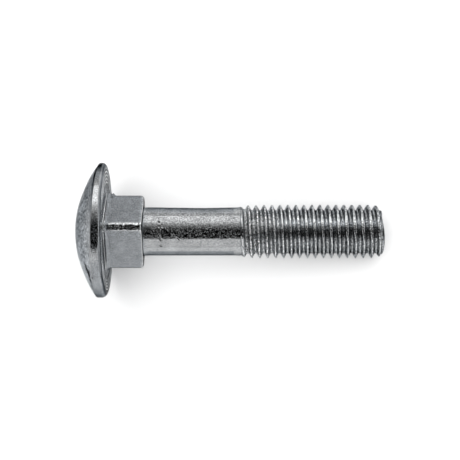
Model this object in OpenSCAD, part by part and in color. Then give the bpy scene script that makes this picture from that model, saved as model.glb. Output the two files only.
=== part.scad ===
/* [Head] */
// Diameter of the cup head
head_d = 29.66; // [29:0.02:30.6]
// Height of the cup head, from its bearing face to the top of the crown
head_h = 6.8; // [6.6:0.05:7.3]
// Radius of the sphere that the crown is part of
crown_r = 23.9; // [23:0.1:24.8]
// Rounding between the crown and the rim
rim_top_r = 0.35; // [0.2:0.05:0.5]
// Rounding between the rim and the bearing face
rim_bottom_r = 0.95; // [0.6:0.05:1.1]

/* [Square neck] */
// Width of the square neck across its flats
neck_w = 12.12; // [11.4:0.02:12.6]
// Length of the square neck, from the bearing face to its shoulder
neck_l = 8.17; // [7.6:0.01:9.4]
// Rounding of the neck's four long corners
neck_corner_r = 1.35; // [0.8:0.05:1.6]
// Fillet where the neck grows out of the head
neck_root_r = 1; // [0.6:0.1:1.2]
// Rounding at the shoulder end of the neck's corners
neck_end_r = 0.8; // [0.4:0.1:1]

/* [Shank] */
// Diameter of the plain shank, which is rolled down to the thread's mean diameter
shank_d = 10.5; // [10.4:0.05:10.9]
// Diameter of the low bead that rolling leaves beside the thread
bead_d = 11; // [10.92:0.02:11.1]
// Width of that bead
bead_w = 0.6; // [0.5:0.1:1.2]

/* [Thread] */
// Outside diameter of the thread
thread_d = 11.76; // [11.7:0.01:11.96]
// Length of the bolt, from the bearing face to the tip
length = 60.6; // [58:0.1:70]
// Length of the threaded end, with its tip
thread_l = 31.2; // [28:0.1:33]
// Length of the taper that leads the thread in beside the bead
lead_l = 1.4; // [0.8:0.1:1.6]

/* [Tip] */
// Diameter of the flat end of the tip
tip_d = 9.3; // [9:0.1:10]
// Length of the cone between the thread and the flat end
tip_l = 1.4; // [1.2:0.1:2]

/* [Hidden] */
$fn = 96;
zinc = [0.62, 0.64, 0.66];
e = 0.01;

head_r = head_d / 2;
thread_r = thread_d / 2;
tip_r = tip_d / 2;

// The bolt is drawn upright: its axis is +Z, its bearing face lies at height 0, and its crown is below.
crown_z = crown_r - head_h;

// Centre of the circle that rounds the crown into the rim, which touches both from inside.
top_c = [head_r - rim_top_r, crown_z - sqrt(pow(crown_r - rim_top_r, 2) - pow(head_r - rim_top_r, 2))];
// Where that circle meets the crown.
top_t = [0, crown_z] + (top_c - [0, crown_z]) * crown_r / (crown_r - rim_top_r);
// The lower rounding, which is never taller than the rim.
low_r = min(rim_bottom_r, -top_c[1] - 0.05);
// Centre of the circle that rounds the rim into the bearing face.
low_c = [head_r - low_r, -low_r];

// The bolt lies on the lower edge of its rim and on the last full turn of its thread.
// lay is the angle by which its axis falls towards the tip.
thread_end = length - tip_l;
run = thread_end - low_c[1];
drop = low_c[0] - thread_r;
lay = atan2(drop, run) + asin(low_r / sqrt(run * run + drop * drop));

// Place of the bearing face's centre, with the floor at height 0 and the bounding box centred.
rest_z = thread_end * sin(lay) + thread_r * cos(lay);
x_min = crown_z * cos(lay) - crown_r;
x_max = length * cos(lay) + tip_r * sin(lay);
rest_x = -(x_min + x_max) / 2;

// Half of the head's section: a spherical crown, a short upright rim and two rounded edges.
module head_section() {
    difference() {
        intersection() {
            translate([0, crown_z]) circle(r = crown_r, $fn = 256);
            translate([0, -head_h - 1]) square([head_r, head_h + 1]);
        }
        // the sharp corner between crown and rim
        polygon([top_c, top_t, [head_r + 2, top_t[1] - 2], [head_r + 2, top_c[1]]]);
        // the sharp corner between rim and bearing face
        translate(low_c) square([low_r + 1, low_r + 1]);
    }
    translate(top_c) circle(r = rim_top_r, $fn = 64);
    intersection() {
        translate(low_c) circle(r = low_r, $fn = 64);
        translate([0, -low_r - 1]) square([head_r + 1, low_r + 1]);
    }
}

module head() {
    rotate_extrude($fn = 192) head_section();
}

// Outline of the square neck, with its corners on the X and Y axes.
module neck_outline() {
    a = neck_w / 2 - neck_corner_r;
    rotate(45) {
        square([neck_w, 2 * a], center = true);
        square([2 * a, neck_w], center = true);
        for (i = [-1, 1], j = [-1, 1])
            translate([i * a, j * a]) circle(r = neck_corner_r, $fn = 48);
    }
}

// Section of the concave fillet at the neck's root. It stands on the bearing face, against the wall at x = 0.
module root_section() {
    difference() {
        translate([-0.3, -0.3]) square([neck_root_r + 0.3, neck_root_r + 0.3]);
        translate([neck_root_r, neck_root_r]) circle(r = neck_root_r, $fn = 64);
        translate([neck_root_r - e, -1]) square([1, 1 + e]);
    }
}

// The fillet runs along the four flats and round the four corners.
module neck_root() {
    a = neck_w / 2 - neck_corner_r;
    rotate([0, 0, 45])
        for (k = [0 : 3]) rotate([0, 0, 90 * k]) {
            translate([neck_w / 2, a, 0])
                rotate([90, 0, 0]) linear_extrude(2 * a) root_section();
            translate([a, a, 0])
                rotate_extrude($fn = 48) translate([neck_corner_r, 0]) root_section();
        }
}

module neck() {
    reach = (neck_w / 2 - neck_corner_r) * sqrt(2) + neck_corner_r;
    intersection() {
        translate([0, 0, -1]) linear_extrude(neck_l + 1) neck_outline();
        // the round envelope rounds off the shoulder end of the four corners
        rotate_extrude($fn = 96) {
            translate([0, -1]) square([reach + 0.2, neck_l + 1 - neck_end_r]);
            translate([0, -1]) square([reach - neck_end_r, neck_l + 1]);
            translate([reach - neck_end_r, neck_l - neck_end_r]) circle(r = neck_end_r, $fn = 48);
        }
    }
    neck_root();
}

// Shank, rolled bead, thread at its outside diameter and tip, as one turned section.
module shank_and_thread() {
    t0 = length - thread_l;
    rotate_extrude($fn = 96)
        polygon([
            [0, -1],
            [shank_d / 2, -1],
            [shank_d / 2, t0 - bead_w - 0.3],
            [bead_d / 2, t0 - bead_w],
            [bead_d / 2, t0],
            [thread_r, t0 + lead_l],
            [thread_r, thread_end],
            [tip_r, length],
            [0, length]
        ]);
}

module bolt() {
    color(zinc)
        translate([rest_x, 0, rest_z])
            rotate([0, 90 + lay, 0])
                union() {
                    head();
                    neck();
                    shank_and_thread();
                }
}

bolt();
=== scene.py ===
import math

import bpy
import numpy as np
from mathutils import Matrix, Vector, noise


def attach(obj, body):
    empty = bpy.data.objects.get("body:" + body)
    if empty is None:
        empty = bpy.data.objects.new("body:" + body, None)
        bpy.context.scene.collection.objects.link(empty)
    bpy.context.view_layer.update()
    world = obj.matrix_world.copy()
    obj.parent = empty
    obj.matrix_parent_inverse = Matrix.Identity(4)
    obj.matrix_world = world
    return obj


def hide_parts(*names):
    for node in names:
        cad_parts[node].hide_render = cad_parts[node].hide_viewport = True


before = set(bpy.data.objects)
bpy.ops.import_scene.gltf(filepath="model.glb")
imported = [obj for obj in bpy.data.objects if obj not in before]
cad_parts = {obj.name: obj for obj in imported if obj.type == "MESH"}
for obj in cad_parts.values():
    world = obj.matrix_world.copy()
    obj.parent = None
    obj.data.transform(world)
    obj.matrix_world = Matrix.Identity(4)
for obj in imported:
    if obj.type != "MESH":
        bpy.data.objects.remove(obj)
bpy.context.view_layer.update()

# ---------------------------------------------------------------- sizes, in mm
# The same driving sizes as the solid part.
HEAD_D, HEAD_H, CROWN_R, RIM_TOP, RIM_LOW = 29.66, 6.8, 23.9, 0.35, 0.95
NECK_W, NECK_L, NECK_C, NECK_ROOT, NECK_END = 12.12, 8.17, 1.35, 1.0, 0.8
THREAD_R, ROOT_R, PITCH = 5.88, 4.757, 1.75
LENGTH, TIP_L, TIP_R = 60.6, 1.4, 4.65

HEAD_R = HEAD_D / 2
CROWN_U = CROWN_R - HEAD_H  # centre of the crown's sphere

# How the bolt lies: on the lower edge of its rim and on its last full thread.
_run = (LENGTH - TIP_L) + RIM_LOW
_drop = (HEAD_R - RIM_LOW) - THREAD_R
LAY = math.atan2(_drop, _run) + math.asin(RIM_LOW / math.hypot(_run, _drop))
CL, SL = math.cos(LAY), math.sin(LAY)
REST_Z = (LENGTH - TIP_L) * SL + THREAD_R * CL
REST_X = -((CROWN_U * CL - CROWN_R) + (LENGTH * CL + TIP_R * SL)) / 2
ORIGIN = np.array([REST_X, 0.0, REST_Z])
AX = np.array([CL, 0.0, -SL])   # along the bolt, towards the tip
UP = np.array([SL, 0.0, CL])    # across it, upwards: the neck's top corner
SIDE = np.array([0.0, -1.0, 0.0])

ROLL = math.radians(8.3)
CR, SR = math.cos(ROLL), math.sin(ROLL)
VIEW = CR * UP + SR * SIDE      # from the bolt to the camera
IMG_UP = SR * UP - CR * SIDE    # upwards in the picture

# ---------------------------------------------------------------- the bolt's mesh
N = 192                         # columns round the axis
PHI = 2 * np.pi * np.arange(N) / N
COS, SIN = np.cos(PHI), np.sin(PHI)
BETA = (8.3 - np.degrees(PHI) + 180) % 360 - 180   # degrees from the camera's side towards the picture's top

verts, faces, dull, tone = [], [], [], []


def vw(a, b):
    """Across the axis: how far up in the picture, and how far to the camera."""
    return a * SR - b * CR, a * CR + b * SR


def add_row(u, a, b, matt=0.0, dark=0.0):
    """A closed ring of N points: how matt the plating is there, and how dark its colour is. That darkness carries
    painted shade and painted highlights as well as the plating's own tone. Returns its vertex numbers.
    """
    start = len(verts)
    u, matt, dark = (np.broadcast_to(x, (N,)) for x in (u, matt, dark))
    for k in range(N):
        verts.append((float(u[k]), float(a[k]), float(b[k])))
        dull.append(float(matt[k]))
        tone.append(float(dark[k]))
    return list(range(start, start + N))


def stitch(r0, r1):
    for k in range(N):
        m = (k + 1) % N
        faces.append((r0[k], r0[m], r1[m], r1[k]))


# --- crown: a sphere, a little flattened between top and rim; the rim was pressed slightly off its centre
RIM_OFF = 0.30 * np.array([SR, -CR])


def crown_u(a, b, r=CROWN_R):
    return CROWN_U - np.sqrt(np.maximum(r * r - a * a - b * b, 0.0))


def crown_form(a, b):
    rho = np.hypot(a, b)
    v, w = vw(a, b)
    flat = (0.11 + 0.035 * v / 10.0) * np.exp(-((rho - 9.6) / 3.0) ** 2)
    # a shallow scuff near the rim, with its metal pushed up along one side
    p, d = np.array([-7.2, 9.9]), np.array([-3.2, -0.9])
    t = np.clip(((v - p[0]) * d[0] + (w - p[1]) * d[1]) / (d @ d), 0, 1)
    dist = np.hypot(v - p[0] - d[0] * t, w - p[1] - d[1] * t)
    scuff = 0.11 * np.exp(-((dist / 0.62) ** 4))
    p2 = p + np.array([0.0, 1.05])
    t = np.clip(((v - p2[0]) * d[0] + (w - p2[1]) * d[1]) / (d @ d), 0, 1)
    dist = np.hypot(v - p2[0] - d[0] * t, w - p2[1] - d[1] * t)
    lip = 0.045 * np.exp(-((dist / 0.4) ** 2))
    return flat + scuff - lip - edge_drop(a, b)


def edge_drop(a, b):
    """The crown's edge was pressed unevenly: the rim is taller on the camera's side and towards the picture's lower edge."""
    v, w = vw(a, b)
    t = np.clip((np.hypot(a, b) - 9.0) / 5.7, 0, 1)
    return (0.31 * w / 14.6 - 0.105 * v / 14.6) * t ** 1.5


rows = []
verts.append((-HEAD_H, 0.0, 0.0))  # the crown's top
dull.append(1.0)
tone.append(0.4)
apex = 0
fillet_r = HEAD_R - RIM_TOP
painted_edge_shade = np.exp(-((BETA - 72) / 52) ** 4)     # painted shade: a dark line in the edge between crown and rim, on the picture's upper half, standing in for a dark reflection
ring_r = list(np.linspace(0.4, 10.0, 15)) + list(np.linspace(10.35, fillet_r - 0.40, 12)) + [fillet_r - 0.22, fillet_r - 0.05]
# the crown's rings; the last ones are coloured darker by the painted edge shade
for r in ring_r:
    off = RIM_OFF * (r / fillet_r) ** 2
    a, b = off[0] + r * COS, off[1] + r * SIN
    rows.append(add_row(crown_u(a, b) + crown_form(a, b), a, b, 1.0, 0.3 + 0.9 * painted_edge_shade * (r > fillet_r - 0.3)))

# --- edge between crown and rim, upright rim, rounded edge to the bearing face
fa, fb = RIM_OFF[0] + fillet_r * COS, RIM_OFF[1] + fillet_r * SIN
fd = np.hypot(fa, fb)
fu = crown_u(fa, fb, CROWN_R - RIM_TOP) - edge_drop(fa, fb)
slope = np.arcsin(fd / (CROWN_R - RIM_TOP))
painted_rim_reflection = -0.60 * np.exp(-((BETA - 33) / 17) ** 4) - 0.15 * np.exp(-((BETA - 25) / 3) ** 2) + 0.75 * np.clip((-22 - BETA) / 8, 0, 1) + 1.6 * np.exp(-((BETA + 4) / 11) ** 4)    # painted reflection on the rim: coloured lighter (painted highlight) on one stretch and darker (painted shade) where a dark reflection lies
painted_rim_reflection = painted_rim_reflection + np.interp(BETA, [38, 42, 46, 50, 54, 59, 63, 68, 80, 100, 130], [0.1, 0.65, 0.85, 1.1, 1.0, 1.7, 1.9, 2.1, 0.9, 0.6, 0.5])    # and painted shade beyond it
# the rim's upper rounding and upright band carry the painted rim reflection, and the painted edge shade near the crown
for t in np.linspace(0.0, 1.0, 5):
    psi = slope + (np.pi / 2 - slope) * t
    rr = fillet_r + RIM_TOP * np.sin(psi)
    rows.append(add_row(fu - RIM_TOP * np.cos(psi), RIM_OFF[0] + rr * COS, RIM_OFF[1] + rr * SIN, 0.8 - 0.7 * t, 0.3 - 0.3 * t + 2.3 * painted_edge_shade * (t < 0.7) + painted_rim_reflection * t))
low = RIM_LOW - 0.16 * np.cos(np.radians(BETA - 90))
lean = -0.09 * np.cos(np.radians(BETA - 90))     # the bearing face leans a little, so the rim is taller towards the picture's lower edge
for t in (0.25, 0.5, 0.75):
    u = fu + (lean - low - fu) * t
    rows.append(add_row(u, RIM_OFF[0] + HEAD_R * COS, RIM_OFF[1] + HEAD_R * SIN, 0.05, painted_rim_reflection))
shade_starts_high = np.clip((50 - np.abs(BETA)) / 8, 0, 1)     # painted shade on the rounded edge under the rim: it begins higher on the camera's side
painted_deep_shade = 1.0 * np.exp(-((BETA - 28) / 16) ** 4) + 0.9 * np.exp(-((BETA + 25) / 12) ** 4)
# painted shade: the rounded edge under the rim is coloured darker as it turns under, in two deeper bands, and towards
# the picture's lower side
for t in (0.0, 0.12, 0.24, 0.34, 0.42, 0.5, 0.66, 0.83, 1.0):
    psi = np.pi / 2 * (1 + t)
    rr = HEAD_R - low + low * np.sin(psi)
    rows.append(add_row(lean - low - low * np.cos(psi), RIM_OFF[0] + rr * COS, RIM_OFF[1] + rr * SIN,
                        float(np.interp(t, [0, 0.30, 0.46, 1], [0.05, 0.15, 1.0, 1.3])), shade_starts_high * np.interp(t, [0, 0.30, 0.46, 1], [0, 0.2, 1.0, 0.8]) + (1 - shade_starts_high) * np.interp(t, [0, 0.44, 0.62, 1], [0, 0.2, 1.0, 1.0]) + painted_deep_shade * (0.4 < t < 0.95) + painted_rim_reflection * (t < 0.3) + 0.3 * (t > 0.3) * np.clip((-5 - BETA) / 10, 0, 1)))

# --- bearing face, with the fine rings that the die leaves on it
RING = 0.72
r_in = 9.9
steps = int(round((HEAD_R - RIM_LOW - r_in) / (RING / 7)))
for i in range(1, steps + 1):
    t = i / steps
    r = (HEAD_R - low) + (r_in - (HEAD_R - low)) * t
    depth = HEAD_R - RIM_LOW - r
    env = np.clip(depth / 0.35, 0, 1) * np.clip((r - r_in) / 0.6, 0, 1)
    wave_ = env * np.sin(2 * math.pi * depth / RING)
    off = RIM_OFF * (1 - t)
    # painted shade: the face is coloured darker, less so on the camera's side and the picture's lower side, and darker
    # between the rings' ridges than on them
    rows.append(add_row(0.055 * wave_ + lean * (1 - t), off[0] + r * COS, off[1] + r * SIN, 1.0, 1.3 - 0.1 * np.clip(-BETA / 10, 0, 1) - 0.7 * np.exp(-(BETA / 48) ** 4) - 2.4 * wave_))

# --- square neck: its columns gather at the four rounded corners
QUARTER = N // 4
ARC = 10                       # columns in half a corner
q = ((np.arange(N) + QUARTER // 2) % QUARTER) - QUARTER // 2
corner_ang = (((np.arange(N) - q) // QUARTER) % 4) * np.pi / 2

# The corner towards the camera is worn to two narrow facets with a crease between them. Its turning angle (degrees)
# along its length (mm), from its flat on the picture's upper side to the one on its lower side.
WORN_L = np.array([0.0, 0.48, 0.10, 0.12, 0.88, 0.39])
WORN_A = np.radians([-45.0, -23.0, -23.0, 13.0, 13.0, 45.0])
C45 = NECK_C * math.cos(math.pi / 4)


def worn_line(upper, lower):
    """Points along the worn corner, with its upper and its lower crease moved by so many mm."""
    ends_ = np.cumsum(WORN_L + np.array([0.0, -upper, 0.0, 0.0, upper - lower, lower]))
    at = np.linspace(0, ends_[-1], 241)
    ang = np.interp(at, ends_, WORN_A)
    ang = (ang[:-1] + ang[1:]) / 2
    x = np.concatenate([[0], np.cumsum(-np.sin(ang) * np.diff(at))])
    y = np.concatenate([[0], np.cumsum(np.cos(ang) * np.diff(at))])
    return at / at[-1], x + C45 - x[-1] * at / at[-1], -C45 + y * 2 * C45 / y[-1]


marked_corner = (corner_ang < 0.1) & (np.abs(q) <= ARC)


def outline(delta, upper=0.0, lower=0.0):
    """The neck's rounded square, with its corners on the axes, grown by delta (one number or one a column). upper and lower move the creases of the worn corner."""
    delta = np.broadcast_to(delta, (N,)).astype(float)
    cx = (NECK_W / 2 - NECK_C) * math.sqrt(2)
    rc = NECK_C + delta
    psi = np.radians(45.0) * np.clip(q / ARC, -1, 1)
    x, y = cx + rc * np.cos(psi), rc * np.sin(psi)
    line_t, line_a, line_b = worn_line(upper, lower)
    at = (1 + np.clip(q / ARC, -1, 1)) / 2
    x_worn, y_worn = np.interp(at, line_t, line_a), np.interp(at, line_t, line_b)
    x, y = np.where(marked_corner, cx + x_worn + (rc - NECK_C) * np.cos(psi), x), np.where(marked_corner, y_worn + (rc - NECK_C) * np.sin(psi), y)
    frac = np.clip((np.abs(q) - ARC) / (QUARTER / 2 - ARC), 0, 1)
    mid = (NECK_W / 2 + delta) * math.cos(math.pi / 4)
    x = x + (mid - x) * frac
    y = y + (np.sign(q) * mid - y) * frac
    ca, sa = np.cos(corner_ang), np.sin(corner_ang)
    return x * ca - y * sa, x * sa + y * ca


ca0, cb0 = r_in * COS, r_in * SIN
oa, ob = outline(NECK_ROOT + 0.1)
# painted highlight: the root's rounding is coloured lighter on the stretch that faces the camera
for t in (0.25, 0.5, 0.75, 1.0):
    s = t * t * (3 - 2 * t)
    rows.append(add_row(np.zeros(N), ca0 + (oa - ca0) * s, cb0 + (ob - cb0) * s, 1.4, 0.1 - 0.5 * np.clip((BETA + 20) / 15, 0, 1) * np.clip((72 - BETA) / 10, 0, 1)))
# the root: a hollow chamfer that meets the flats in a faint edge
def burr(u):
    """A burr of metal stands at the root of the neck's corner on the picture's upper side."""
    there = (corner_ang > 4.5) * np.exp(-((q - 0.5) / 7.0) ** 2)
    rag = np.array([0.75 + 0.7 * noise.noise(Vector((0.55 * k, u * 2.6, 4.0))) for k in q])
    return there * rag * (0.52 * math.exp(-((u - 1.32) / 0.33) ** 2) + 0.62 * math.exp(-((u - 0.72) / 0.30) ** 2))


# painted shade: the chamfer is coloured darker towards the flats; painted highlight: lighter near its start on the
# camera's side, and on the burr
for t, sag, root_shade in ((0.0, 0.0, 0.0), (0.06, 0.015, 0.3), (0.16, 0.06, 0.5), (0.27, 0.10, 0.6), (0.38, 0.12, 0.7), (0.46, 0.13, 1.0),
                       (0.58, 0.12, 1.4), (0.68, 0.10, 1.3), (0.84, 0.05, 1.5), (0.93, 0.02, 1.9), (1.0, 0.0, 1.3)):
    u = 0.04 + (NECK_ROOT - 0.04) * t - sag * 0.7
    lump = burr(u)
    a, b = outline((NECK_ROOT + 0.1) * (1 - t) - sag * 0.7 + lump)
    painted_root_highlight = -1.2 * np.clip((BETA + 25) / 20, 0, 1) * np.clip((60 - BETA) / 12, 0, 1) * float(np.interp(t, [0, 0.06, 0.27, 0.38, 0.5], [0.5, 0.9, 1.0, 0.7, 0]))
    flick = np.array([(1.8 if t == 0.16 else 0.9) * noise.noise(Vector((0.7 * k, 5.0 * t, 2.0))) for k in range(N)])
    rows.append(add_row(np.full(N, u), a, b, 0.9, root_shade + painted_root_highlight + flick - 5.0 * lump * (t < 0.8)))
corner_w = np.clip(1 - np.abs(q) / (ARC + 3.0), 0, 1)
end_r = 0.22 + (NECK_END - 0.22) * corner_w ** 0.6
on_flat = np.clip((np.abs(q) - ARC + 1.5) / 2.0, 0, 1)   # 0 on the polished corners
on_flat = np.where(marked_corner | (np.abs(q) > ARC), on_flat, 1.0)
# the neck's flats: the upper flats are coloured darker (painted shade), the burr lighter (painted highlight)
for u in [1.09, 1.2, 1.35, 1.5, 1.65, 1.85] + list(np.linspace(2.05, NECK_L - NECK_END - 0.02, 28)):
    lump = burr(u)
    up_ = 0.36 * noise.noise(Vector((u * 1.5, 6.6, 1.0))) + 0.30 * noise.noise(Vector((u * 3.1, 2.6, 7.0)))
    down_ = 0.16 * noise.noise(Vector((u * 1.4, 1.6, 4.0))) + 0.12 * noise.noise(Vector((u * 3.3, 8.6, 3.0)))
    a, b = outline(lump, up_, down_)
    rows.append(add_row(np.full(N, u), a, b, 0.1 + 0.9 * on_flat, 1.35 * on_flat - 0.35 - 1.0 * lump + np.where(BETA > 8.3, 0.6, 0.1) * on_flat))
# the neck's rounded end: painted highlight on its first half, painted shade where it turns under into the shoulder
for t in np.linspace(0.0, 1.0, 7):
    psi = t * math.pi / 2
    a, b = outline(-end_r * (1 - math.cos(psi)))
    rows.append(add_row(NECK_L - end_r + end_r * math.sin(psi), a, b, 0.3 + 0.6 * on_flat,
                        np.interp(t, [0, 0.3, 0.55, 0.75, 1], [0.8, -0.3, -0.1, 1.6, 2.6]) - 0.3 * (1 - on_flat)))

# --- shoulder, then the shank
FIL = 0.3


def shank_r(u):
    return np.interp(u, [8.4, 9.5, 11.7, 13.9, 16.1, 18.3, 20.5, 22.7, 24.9, 27.1, 28.4],
                     [5.32, 5.314, 5.30, 5.272, 5.262, 5.243, 5.232, 5.236, 5.265, 5.278, 5.28])


def shank_off(u):
    return float(np.interp(u, [8.4, 9.5, 13.9, 18.3, 20.5, 24.9, 27.1, 28.6, 29.5, 59.3, 60.2],
                           [0.0, 0.05, 0.015, -0.02, -0.03, -0.005, 0.03, 0.03, 0.0, 0.0, -0.15])) * np.array([SR, -CR])


sr = float(shank_r(NECK_L))
a1, b1 = outline(-end_r)
fa, fb = (sr + FIL) * COS, (sr + FIL) * SIN
# painted shadow: the shoulder and the start of the shank are coloured dark
for t in (0.35, 0.7, 1.0):
    rows.append(add_row(np.full(N, NECK_L), a1 + (fa - a1) * t, b1 + (fb - b1) * t, 1.0 - 0.6 * t, 2.6))
for t in (0.33, 0.67, 1.0):
    psi = t * math.pi / 2
    r = sr + FIL * (1 - math.sin(psi))
    rows.append(add_row(np.full(N, NECK_L + FIL * (1 - math.cos(psi))), r * COS, r * SIN, 0.3, 2.6 - 2.2 * t))
U_S = 27.9
painted_side_shade = np.interp(BETA, [-180, -120, -66, -57, -52, 44, 56, 120, 180], [0.5, 0.9, 0.8, 1.3, 0.0, 0.0, 1.1, 0.9, 0.5])     # painted shade: darker on its sides as seen from the camera, and behind
for u in np.linspace(NECK_L + FIL, U_S, 23)[1:]:
    r = float(shank_r(u))
    o = shank_off(u)
    rows.append(add_row(np.full(N, u), o[0] + r * COS, o[1] + r * SIN, 0.0, painted_side_shade))

for k in range(N):
    faces.append((apex, rows[0][k], rows[0][(k + 1) % N]))
for r0, r1 in zip(rows, rows[1:]):
    stitch(r1, r0)

# --- thread: its columns of points follow the helix, so that crests and roots are true lines
CREST0 = 31.03 + PITCH * 81.7 / 360     # where a crest crosses the neck's top corner line
XS = [0.0, 0.06, 0.12, 0.20, 0.31, 0.44, 0.58, 0.69, 0.78, 0.875]
line_x = XS + [PITCH - x for x in XS[-2:0:-1]]
M = len(line_x)

# the end was sheared and is a little shorter on one side
end_u = np.interp(BETA, [-180, -110, -67, -47, -33, -20, -9, 1.6, 12.7, 24, 37, 52, 79, 110, 180],
                  [60.5, 60.52, 60.57, 60.59, 60.62, 60.60, 60.58, 60.49, 60.40, 60.28, 60.12, 60.16, 60.36, 60.45, 60.5])
U_E = end_u - 0.22


def crest_r(u):
    return float(np.interp(u, [27.9, 28.6, 29.1, 29.4, 29.9, 30.4, 30.96, 31.9, 32.5, 58.2, 59.06, 59.5, 59.75, 60.05, 60.3, 60.5],
                           [5.28, 5.29, 5.37, 5.49, 5.57, 5.70, 5.82, 5.83, THREAD_R, THREAD_R, 5.74, 5.66, 5.52, 5.18, 4.85, TIP_R]))


def root_r(u):
    return float(np.interp(u, [29.25, 29.6, 30.2, 31.0, 32.0], [5.33, 5.16, 4.96, 4.84, ROOT_R]))


def smin(a, b, k):
    h = max(k - abs(a - b), 0.0) / k
    return min(a, b) - h * h * k / 4


def profile(x, right, left):
    """Height of the thread, 0 at its root and 1 at its crest, x mm from the crest's middle line. The crest is right wide on its tip side and left on its head side."""
    width = right if x < PITCH / 2 else left
    x = min(x, PITCH - x)
    t = 1 - (x - width) / (max(0.66, width + 0.34) - width)
    return -smin(-smin(t, 1.0, 0.13), 0.0, 0.22)


start_ring = rows[-1]
end_a = np.minimum([crest_r(u) for u in U_E], [root_r(u) + 0.05 for u in U_E])
TIP_A, TIP_B = shank_off(60.4)
end_ring = add_row(U_E, TIP_A + end_a * COS, TIP_B + end_a * SIN, 0.6, 1.6)
l_min = int(math.floor((U_S - CREST0) / PITCH) - 2) * M
l_max = int(math.ceil((LENGTH - CREST0) / PITCH) + 2) * M
known = {}
height = {}
rubbed = {}


def thread_vert(line, col):
    if col == N:
        line, col = line + M, 0
    key = (line, col)
    if key in known:
        return known[key]
    turn, i = divmod(line, M)
    u = CREST0 + PITCH * turn + line_x[i] + PITCH * col / N
    if u <= U_S + 0.03:
        v = start_ring[col]
    elif u >= U_E[col] - 0.015:
        v = end_ring[col]
    else:
        s = PITCH * turn + PITCH * col / N
        wob = noise.noise(Vector((s * 2.1, 3.7, 0.0))) * 0.6 + noise.noise(Vector((s * 7.3, 9.1, 0.0))) * 0.4
        # crests are worn broader on one side, and more so towards the tip
        late = float(np.clip((u - 33) / 20, 0, 1))
        worn = (0.08 + 0.32 * late ** 1.3) * math.exp(-((BETA[col] - 14) / 24) ** 2)
        blunt = 0.16 * late * math.exp(-((BETA[col] - 85) / 24) ** 2)
        h = profile(line_x[i], 0.09 + 0.1 * worn + blunt + 0.02 * wob, min(0.52, 0.09 + worn + 0.04 * wob))
        top, low_ = crest_r(u) + 0.035 * wob, root_r(u)
        low_ = min(low_, top)
        r = low_ + (top - low_) * h
        o = shank_off(u)
        v = len(verts)
        verts.append((u, o[0] + r * COS[col], o[1] + r * SIN[col]))
        tip_ = float(np.clip((u - 58.6) / 0.9, 0, 1))
        dull.append(0.5 * tip_)
        # painted highlight and shade: the thread's turns are coloured lighter and darker in bands at angles from the
        # camera; the tip darker
        tone.append(1.0 * tip_ + (0.3 * math.exp(-((BETA[col] + 12) / 9) ** 2) - (0.85 - 0.45 * h) * math.exp(-((BETA[col] - 22) / 13) ** 2) - 0.35 * math.exp(-((BETA[col] - 4) / 7) ** 2)
                                   - 0.15 * math.exp(-((BETA[col] + 32) / 12) ** 2) + 0.6 * math.exp(-((BETA[col] - 61) / 14) ** 2) + 0.25 * math.exp(-((BETA[col] + 58) / 10) ** 2)) * (1 - tip_) * float(np.clip((u - 30) / 3, 0, 1)))
        height[v] = h * np.clip((u - 29.0) / 0.6, 0, 1)
        rubbed[v] = late * math.exp(-((BETA[col] - 20) / 20) ** 2)
    known[key] = v
    return v


for line in range(l_min, l_max):
    for col in range(N):
        c = [thread_vert(line + 1, col), thread_vert(line + 1, col + 1),
             thread_vert(line, col + 1), thread_vert(line, col)]
        c = [v for i, v in enumerate(c) if v not in c[:i]]
        if len(c) >= 3:
            faces.append(tuple(c))

# --- tip: a worn cone and a sheared end
last = end_ring
for du, r in ((0.10, 4.76), (0.18, 4.68), (0.22, 4.56), (0.22, 4.2), (0.18, 3.2), (0.14, 2.0), (0.12, 0.9)):
    new = add_row(U_E + du if r > 3.5 else np.full(N, float(np.mean(U_E)) + du), TIP_A + r * COS, TIP_B + r * SIN, 0.9, 1.6 if r > 4.7 else 1.2)
    stitch(new, last)
    last = new
verts.append((float(np.mean(U_E)) + 0.12, float(TIP_A), float(TIP_B)))
dull.append(0.8)
tone.append(0.8)
for k in range(N):
    faces.append((len(verts) - 1, last[(k + 1) % N], last[k]))

P = np.array(verts)
world = (ORIGIN + P[:, :1] * AX + P[:, 1:2] * UP + P[:, 2:3] * SIDE) / 1000.0
mesh = bpy.data.meshes.new("bolt_skin")
mesh.from_pydata([tuple(v) for v in world], [], [f[::-1] for f in faces])    # wound so that the normals point outwards
mesh.validate()
for poly in mesh.polygons:
    poly.use_smooth = True
mesh.update()

crest = np.zeros(len(P))
groove = np.zeros(len(P))
for v, h in height.items():
    crest[v] = min(1.0, max(0.0, (h - 0.85) / 0.12)) * (1 - 0.5 * rubbed[v])
    groove[v] = (1.0 - h) * (1 - 0.5 * rubbed[v]) if P[v, 0] > 29.2 else 0.0
for name, vals in (("groove", groove), ("crest", crest), ("matt", np.array(dull)), ("tone", np.array(tone))):
    att = mesh.attributes.new(name, "FLOAT", "POINT")
    att.data.foreach_set("value", vals.astype(np.float32))

bolt = bpy.data.objects.new("bolt_skin", mesh)
bpy.context.scene.collection.objects.link(bolt)
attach(bolt, "root")
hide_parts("bolt")


# ---------------------------------------------------------------- materials
def nt(mat):
    mat.use_nodes = True
    t = mat.node_tree
    t.nodes.clear()
    return t


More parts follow.
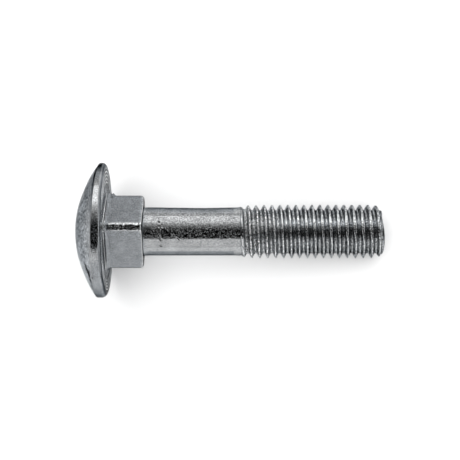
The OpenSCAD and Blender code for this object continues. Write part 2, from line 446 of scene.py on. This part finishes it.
class G:
    """Short ways to add nodes to a tree."""

    def __init__(self, tree):
        self.t = tree

    def add(self, kind, **props):
        n = self.t.nodes.new(kind)
        for k, v in props.items():
            setattr(n, k, v)
        return n

    def put(self, sock, val):
        if isinstance(val, bpy.types.NodeSocket):
            self.t.links.new(val, sock)
        else:
            sock.default_value = val

    def math(self, op, a, b=None, c=None, clamp=False):
        n = self.add("ShaderNodeMath", operation=op, use_clamp=clamp)
        self.put(n.inputs[0], a)
        if b is not None:
            self.put(n.inputs[1], b)
        if c is not None:
            self.put(n.inputs[2], c)
        return n.outputs[0]

    def sum(self, *terms):
        out = terms[0]
        for t in terms[1:]:
            out = self.math("ADD", out, t)
        return out

    def mul(self, *terms):
        out = terms[0]
        for t in terms[1:]:
            out = self.math("MULTIPLY", out, t)
        return out

    def ramp(self, x, lo, hi, out_lo=0.0, out_hi=1.0, kind="SMOOTHSTEP"):
        n = self.add("ShaderNodeMapRange", interpolation_type=kind, clamp=True)
        self.put(n.inputs["Value"], x)
        for name, v in (("From Min", lo), ("From Max", hi), ("To Min", out_lo), ("To Max", out_hi)):
            self.put(n.inputs[name], v)
        return n.outputs[0]

    def dot(self, v, const):
        n = self.add("ShaderNodeVectorMath", operation="DOT_PRODUCT")
        self.put(n.inputs[0], v)
        n.inputs[1].default_value = const
        return n.outputs["Value"]

    def combine(self, x, y, z):
        n = self.add("ShaderNodeCombineXYZ")
        for s, v in zip(n.inputs, (x, y, z)):
            self.put(s, v)
        return n.outputs[0]

    def noise(self, vec, scale, detail=2.0, rough=0.5, distortion=0.0):
        n = self.add("ShaderNodeTexNoise")
        self.put(n.inputs["Vector"], vec)
        n.inputs["Scale"].default_value = scale
        n.inputs["Detail"].default_value = detail
        n.inputs["Roughness"].default_value = rough
        n.inputs["Distortion"].default_value = distortion
        return n.outputs["Fac"]

    def mix(self, fac, a, b):
        n = self.add("ShaderNodeMix", data_type="RGBA")
        self.put(n.inputs["Factor"], fac)
        self.put(n.inputs[6], a)
        self.put(n.inputs[7], b)
        return n.outputs[2]

    def tint(self, colour, factor):
        """The colour times a grey factor."""
        n = self.add("ShaderNodeVectorMath", operation="SCALE")
        self.put(n.inputs[0], colour)
        self.put(n.inputs["Scale"], factor)
        return n.outputs[0]

    def length(self, v):
        n = self.add("ShaderNodeVectorMath", operation="LENGTH")
        self.put(n.inputs[0], v)
        return n.outputs["Value"]

    def strokes(self, point, marks):
        """1 inside any of the marks, each a narrow oval from one point to another with a half width, and 0 outside."""
        near = None
        for (x0, y0), (x1, y1), half in marks:
            m = self.add("ShaderNodeMapping", vector_type="TEXTURE")
            self.put(m.inputs["Vector"], point)
            m.inputs["Location"].default_value = ((x0 + x1) / 2, (y0 + y1) / 2, 0)
            m.inputs["Rotation"].default_value = (0, 0, math.atan2(y1 - y0, x1 - x0))
            m.inputs["Scale"].default_value = (math.hypot(x1 - x0, y1 - y0) / 2 + half, half, 1)
            d = self.length(m.outputs[0])
            near = d if near is None else self.math("MINIMUM", near, d)
        return self.ramp(near, 1.0, 0.5)


def zinc_material(part):
    """One plating for the whole bolt; its head, its plain part and its thread each have only the nodes that they need."""
    mat = bpy.data.materials.new("zinc_plate_" + part)
    g = G(nt(mat))
    out = g.add("ShaderNodeOutputMaterial")
    bsdf = g.add("ShaderNodeBsdfPrincipled")
    bsdf.inputs["Metallic"].default_value = 1.0

    tc = g.add("ShaderNodeTexCoord")
    mp = g.add("ShaderNodeMapping", vector_type="TEXTURE")
    g.t.links.new(tc.outputs["Object"], mp.inputs["Vector"])
    mp.inputs["Location"].default_value = tuple(ORIGIN / 1000.0)
    mp.inputs["Rotation"].default_value = (0.0, LAY, 0.0)
    mp.inputs["Scale"].default_value = (0.001, 0.001, 0.001)
    local = mp.outputs[0]      # mm: along the bolt, to its left, upwards
    sep = g.add("ShaderNodeSeparateXYZ")
    g.t.links.new(local, sep.inputs[0])
    u, y, z = sep.outputs

    def field(name):
        return g.add("ShaderNodeAttribute", attribute_name=name).outputs["Fac"]

    def across():
        """Across the bolt: towards its left and a little upwards, and square to that, on the marked side."""
        return g.sum(g.mul(y, CR), g.mul(z, SR)), g.sum(g.mul(z, CR), g.mul(y, -SR))

    def radius():
        return g.math("SQRT", g.sum(g.mul(y, y), g.mul(z, z)))

    matt, tone_ = field("matt"), field("tone")
    calm = g.math("SUBTRACT", 1.0, g.mul(matt, 0.6), clamp=True)

    # small waves of the plated surface, finer grain, and tiny bright and dark facets
    fine = g.noise(local, 5.5, 2.0, 0.6)
    speck = g.noise(local, 3.6, 1.0, 0.5)
    blotch = g.ramp(g.noise(local, 0.45, 3.0, 0.6), 0.3, 0.7, -0.10, 0.10)
    wave = g.mul(g.noise(local, 1.7, 2.0, 0.55), 0.019)
    spark = g.mul(g.ramp(g.noise(local, 4.2, 1.0, 0.5), 0.61, 0.67), calm, 0.017)
    pit = g.mul(g.ramp(g.noise(local, 3.9, 1.0, 0.5), 0.39, 0.33), calm, -0.017)

    grain = g.sum(g.ramp(speck, 0.36, 0.64, -0.22, 0.22), g.ramp(fine, 0.3, 0.7, -0.14, 0.14))
    if part == "plain":
        grain = g.mul(grain, g.ramp(across()[0], -2.2, -0.6, 0.45, 1.15))
    if part == "head":
        grain = g.mul(grain, 0.6)
    vary = g.sum(blotch, grain, 1.0)
    rough = g.sum(g.ramp(g.noise(local, 0.8, 3.0, 0.6), 0.3, 0.7, 0.05, 0.09), g.mul(matt, 0.11), g.ramp(fine, 0.3, 0.7, -0.02, 0.04))
    relief = g.sum(wave, g.mul(g.sum(g.mul(fine, 0.005), g.mul(speck, 0.007)), calm), spark, pit)
    base = g.mix(tone_, (0.380, 0.388, 0.394, 1), (0.262, 0.276, 0.290, 1))
    factor, sheen = 1.0, 1.0

    if part == "head":
        v, w = across()
        r = radius()
        crown = g.mul(g.ramp(u, 0.06, -0.02), g.ramp(r, 14.5, 14.25))
        rim = g.mul(g.ramp(u, 0.06, -0.02), g.ramp(r, 14.25, 14.5))
        sheen = g.math("MULTIPLY_ADD", crown, 1.0, 1.0)
        mottle = g.mul(g.noise(g.combine(g.mul(u, 1.3), y, z), 1.7, 3.0, 0.65), crown)
        # the crown's mottle, and painted shade: the head coloured darker towards the picture's top
        vary = g.sum(vary, g.math("MULTIPLY_ADD", mottle, 1.5, g.mul(crown, -0.75)),
                     g.mul(g.ramp(u, -0.1, -0.9), g.ramp(v, -8.0, 7.0, 0.03, -0.21, "LINEAR")))
        # marks on the crown and the rim, and pits in the bearing face
        side = g.combine(v, w, 0.0)
        near = g.ramp(w, 0.0, 0.5)
        edge_ = g.mul(crown, near)
        scuff = g.mul(g.strokes(side, (((-6.95, 9.55), (-7.9, 9.6), 0.42), ((-7.8, 9.6), (-9.2, 9.6), 0.50), ((-9.0, 9.6), (-10.1, 9.2), 0.50),
                                       ((-9.9, 9.3), (-10.8, 8.6), 0.42))), edge_)
        patch = g.mul(g.strokes(side, (((-7.5, 9.5), (-10.2, 9.6), 0.95), ((-8.3, 10.5), (-9.8, 10.7), 1.0))), edge_, g.ramp(speck, 0.40, 0.60, 1.5, 0.6))
        lit = g.mul(g.strokes(side, (((-6.6, 10.5), (-7.2, 10.9), 0.20), ((-8.4, 11.2), (-9.6, 10.5), 0.24), ((-9.6, 10.5), (-10.6, 9.6), 0.26))), edge_)
        dots = g.mul(g.strokes(side, (((-8.5, 10.6), (-8.65, 10.8), 0.2), ((-8.7, 12.1), (-9.2, 12.1), 0.22), ((-9.85, 9.2), (-10.5, 8.3), 0.18),
                                      ((-9.5, 11.2), (-10.0, 10.7), 0.16), ((-10.25, 11.4), (-10.35, 11.35), 0.18))), near, g.ramp(u, -1.7, -1.9))
        pits = g.mul(g.strokes(side, (((9.6, -1.9), (9.6, 1.9), 0.19), ((9.05, -3.5), (9.05, 1.5), 0.16), ((8.4, 1.8), (8.4, 3.4), 0.13),
                                      ((-8.45, 2.6), (-8.35, 3.8), 0.16), ((-9.1, -0.4), (-9.1, 1.8), 0.17))), g.ramp(u, -0.35, -0.25))
        factor = g.mul(g.math("SUBTRACT", 1.0, g.mul(patch, 0.40)), g.math("SUBTRACT", 1.0, g.mul(scuff, 0.42)), g.math("MULTIPLY_ADD", lit, 0.45, 1.0),
                       g.math("SUBTRACT", 1.0, g.mul(dots, 0.5)), g.math("SUBTRACT", 1.0, g.mul(pits, 0.75)))
        relief = g.sum(relief, g.mul(mottle, 0.02), g.mul(g.noise(local, 3.3, 2.0, 0.6), rim, 0.022),
                       g.mul(scuff, -0.03), g.mul(lit, 0.03), g.mul(dots, -0.03), g.mul(pits, -0.04))

    if part == "plain":
        v, w = across()
        neck = g.mul(g.ramp(u, 0.9, 1.1), g.ramp(u, 8.2, 8.0))
        corner = g.mul(neck, g.ramp(radius(), 7.55, 7.85))
        # lengthwise drawing streaks on the neck
        streak = g.mul(g.noise(g.combine(g.mul(u, 0.10), y, z), 3.4, 3.0, 0.65), neck)
        vary = g.sum(vary, g.math("MULTIPLY_ADD", streak, 0.65, g.mul(neck, -0.325)))
        # nicks in the shank
        vj = g.sum(v, g.math("MULTIPLY_ADD", g.noise(local, 2.6, 2.0, 0.6), 0.40, -0.20))
        uj = g.math("ADD", u, g.math("MULTIPLY_ADD", fine, 0.35, -0.175))
        at = g.combine(uj, vj, 0.0)
        front = g.mul(g.ramp(w, 0.0, 0.5), g.ramp(u, 8.6, 8.9))
        gouge = g.mul(g.strokes(at, (((11.70, 2.10), (11.85, 2.05), 0.26), ((11.25, 1.45), (12.40, 1.05), 0.17), ((12.30, 1.52), (12.4, 1.45), 0.19),
                                     ((11.66, -1.32), (12.16, -1.95), 0.22), ((15.32, -1.22), (16.28, -1.86), 0.14),
                                     ((12.0, -3.05), (12.2, -3.2), 0.26), ((15.0, -0.5), (15.2, -0.9), 0.13))), front)
        bright = g.mul(g.strokes(at, (((11.80, 1.70), (12.0, 1.66), 0.22), ((11.65, 0.76), (11.85, 0.72), 0.17), ((12.35, 0.82), (12.70, 0.76), 0.17),
                                      ((12.20, 0.55), (11.93, -0.10), 0.14), ((11.82, -0.66), (12.42, -1.58), 0.15),
                                      ((15.38, -0.95), (16.42, -1.74), 0.13), ((15.6, -1.55), (16.0, -1.95), 0.12),
                                      ((14.45, -0.35), (14.65, -0.85), 0.12), ((10.5, 0.3), (10.8, 0.0), 0.12), ((13.5, 0.5), (13.7, 0.1), 0.12))), front)
        factor = g.mul(g.math("SUBTRACT", 1.0, g.mul(gouge, 0.80)), g.math("ADD", 1.0, g.mul(bright, g.ramp(tone_, 0.8, 2.6, 0.75, 4.5, "LINEAR"))))
        rough = g.sum(rough, g.mul(bright, 0.22))
        relief = g.sum(relief, g.mul(streak, 0.014), g.mul(g.noise(local, 3.3, 2.0, 0.6), corner, 0.045), g.mul(gouge, -0.05), g.mul(bright, 0.02))

    if part == "thread":
        groove, crest_ = field("groove"), field("crest")
        # painted shade: the thread's flanks are coloured darker between crest and root
        base = g.mix(g.mul(g.ramp(groove, 0.03, 0.2), g.ramp(groove, 0.97, 0.75)), base, (0.275, 0.283, 0.290, 1))
        base = g.mix(crest_, base, (0.53, 0.54, 0.55, 1))
        begun = g.ramp(u, 29.2, 29.8)
        rough_start = g.mul(g.ramp(u, 29.9, 30.5), g.ramp(u, 45.0, 31.0))
        tip = g.ramp(u, 58.0, 59.4)
        # rolling streaks round the thread
        streak = g.mul(g.noise(g.combine(g.mul(u, 6.0), g.mul(radius(), 6.0), g.mul(y, 0.2)), 1.0, 3.0, 0.6), begun)
        # fine ridges that follow the helix, four to a pitch
        turn = g.math("ARCTAN2", g.mul(y, -1.0), z)
        ridge = g.math("SINE", g.math("SUBTRACT", g.mul(u, 2 * math.pi * 4 / PITCH), g.mul(turn, 4.0)))
        ridge = g.mul(g.sum(g.mul(ridge, 0.8), g.ramp(speck, 0.3, 0.7, -0.7, 0.7)), g.math("MAXIMUM", tip, g.ramp(u, 36.0, 50.0, 0.0, 0.75)))
        # painted glints: bright specks, with dark ones, on the thread's first turns
        vary = g.sum(vary, g.math("MULTIPLY_ADD", streak, 0.70, g.mul(begun, -0.35)),
                     g.mul(rough_start, g.sum(g.ramp(speck, 0.50, 0.62, 0.0, 1.15), g.ramp(speck, 0.48, 0.36, 0.0, -0.60))), g.mul(ridge, 0.55))
        rough = g.sum(rough, g.mul(groove, 0.12), g.mul(rough_start, 0.12))
        relief = g.sum(relief, g.mul(streak, 0.006), g.mul(g.noise(local, 3.0, 3.0, 0.7), rough_start, 0.15), g.mul(ridge, 0.015))

    # tone below 0 colours the plating lighter and above 1 darker: mostly painted highlight and painted shade, partly
    # the dull tip and flats
    vary = g.mul(vary, g.ramp(tone_, 0.0, -1.0, 1.0, 2.3, "LINEAR"), g.ramp(tone_, 1.0, 3.0, 1.0, 0.3, "LINEAR"), factor)
    g.put(bsdf.inputs["Base Color"], g.tint(base, vary))
    # the reflection at grazing angles follows the same colour changes, painted shade and highlights among them
    g.put(bsdf.inputs["Specular Tint"], g.tint((0.19, 0.20, 0.21), g.mul(vary, vary, g.ramp(tone_, 0.0, 1.0, 1.35, 0.75, "LINEAR"), sheen)))
    g.put(bsdf.inputs["Roughness"], rough)
    bump = g.add("ShaderNodeBump")
    bump.inputs["Strength"].default_value = 1.0
    bump.inputs["Distance"].default_value = 0.001      # the relief is in mm
    g.put(bump.inputs["Height"], relief)
    g.t.links.new(bump.outputs[0], bsdf.inputs["Normal"])
    g.t.links.new(bsdf.outputs[0], out.inputs[0])
    return mat


for part in ("head", "plain", "thread"):
    bolt.data.materials.append(zinc_material(part))
for poly in mesh.polygons:
    mid = P[list(poly.vertices)].mean(axis=0)
    poly.material_index = 0 if mid[0] < 0.02 or math.hypot(mid[1], mid[2]) > 9.25 else 1 if mid[0] < 29.2 else 2

# ---------------------------------------------------------------- floor
fm = bpy.data.meshes.new("floor")
s = 3.0
fm.from_pydata([(-s, -s, 0), (s, -s, 0), (s, s, 0), (-s, s, 0)], [], [(0, 1, 2, 3)])
floor = bpy.data.objects.new("floor", fm)
floor.location.z = -0.00002
bpy.context.scene.collection.objects.link(floor)
mat = bpy.data.materials.new("pale_floor")
g = G(nt(mat))
o = g.add("ShaderNodeOutputMaterial")
d = g.add("ShaderNodeBsdfDiffuse")
d.inputs["Color"].default_value = (0.92, 0.92, 0.92, 1)
g.t.links.new(d.outputs[0], o.inputs[0])
floor.data.materials.append(mat)

# ---------------------------------------------------------------- light
PX = 4.545                    # picture pixels to a mm at the bolt's axis
CAM_D = 1200 / PX             # mm from the axis
FOOT = (230 - 106.9) / PX     # where the camera looks, along the axis
aim = ORIGIN + FOOT * AX


def aimed(obj, position, right, up, back):
    obj.matrix_world = Matrix(((right[0], up[0], back[0], position[0]),
                               (right[1], up[1], back[1], position[1]),
                               (right[2], up[2], back[2], position[2]),
                               (0, 0, 0, 1)))


def panel(name, lo, hi, width, shift, dist, radiance):
    """A soft panel that fills the angles lo to hi, in degrees from the camera's direction towards the picture's top."""
    mid, half = math.radians((lo + hi) / 2), math.radians(abs(hi - lo) / 2)
    back = math.cos(mid) * VIEW + math.sin(mid) * IMG_UP
    upv = -math.sin(mid) * VIEW + math.cos(mid) * IMG_UP
    lamp = bpy.data.lights.new(name, "AREA")
    lamp.shape = "RECTANGLE"
    lamp.size = width
    lamp.size_y = 2 * dist * math.tan(half)
    lamp.energy = radiance * math.pi * lamp.size * lamp.size_y
    o = bpy.data.objects.new(name, lamp)
    bpy.context.scene.collection.objects.link(o)
    aimed(o, aim / 1000 + dist * back + shift * AX, AX, upv, back)
    return o


key = panel("key_panel", 45, 80, 1.9, 0.4, 0.55, 1.45)

# a wide, weak panel overhead that only lights the floor: polished metal doesn't mirror it
over = bpy.data.lights.new("floor_light", "AREA")
over.shape, over.size = "SQUARE", 1.3
over.energy = 2.6 * math.pi * over.size ** 2
oo = bpy.data.objects.new("floor_light", over)
bpy.context.scene.collection.objects.link(oo)
oo.location = (0.0, -0.15, 1.0)
oo.visible_glossy = False

w = bpy.data.worlds.new("studio")
bpy.context.scene.world = w
w.use_nodes = True
w.node_tree.nodes.clear()
g = G(w.node_tree)
out = g.add("ShaderNodeOutputWorld")
bg = g.add("ShaderNodeBackground")
g.t.links.new(bg.outputs[0], out.inputs[0])
dirn = g.add("ShaderNodeTexCoord").outputs["Generated"]
wv, wi, wa = g.dot(dirn, tuple(VIEW)), g.dot(dirn, tuple(IMG_UP)), g.dot(dirn, tuple(AX))
beta = g.math("ARCTAN2", wi, wv)          # radians from the camera's direction
ramp = g.add("ShaderNodeValToRGB")
el = ramp.color_ramp
stops = [(-180, 0.95), (-100, 1.1), (-80, 1.3), (-36, 1.4), (-33.4, 0.0), (6, 0.0), (12, 0.07), (19, 0.14), (26, 0.42),
         (32, 0.62), (38, 1.0), (44.8, 1.35), (45.2, 0.05), (79.8, 0.05), (80.2, 1.0), (110, 0.9), (180, 0.95)]
while len(el.elements) < len(stops):
    el.elements.new(0.5)
for e, (deg, val) in zip(el.elements, stops):
    e.position = (deg + 180) / 360
    e.color = (val / 2, val / 2, val / 2, 1)
g.put(ramp.inputs[0], g.math("MULTIPLY_ADD", beta, 1 / (2 * math.pi), 0.5))
band = g.mul(ramp.outputs["Color"], 2.0)
ends = g.ramp(wa, 0.925, 0.945)
g.put(bg.inputs["Strength"], g.sum(g.mul(band, g.math("SUBTRACT", 1.0, ends)), g.mul(ends, 0.5)))

# ---------------------------------------------------------------- camera
cam = bpy.data.cameras.new("camera")
cam.sensor_width = 36.0
cam.lens = 18.0 / (230 / 1200)
cam.clip_start, cam.clip_end = 0.01, 20
co = bpy.data.objects.new("camera", cam)
bpy.context.scene.collection.objects.link(co)
aimed(co, (aim + CAM_D * VIEW + (1.6 / PX) * IMG_UP) / 1000, AX, IMG_UP, VIEW)
bpy.context.scene.camera = co
bpy.context.scene.view_settings.view_transform = "Standard"
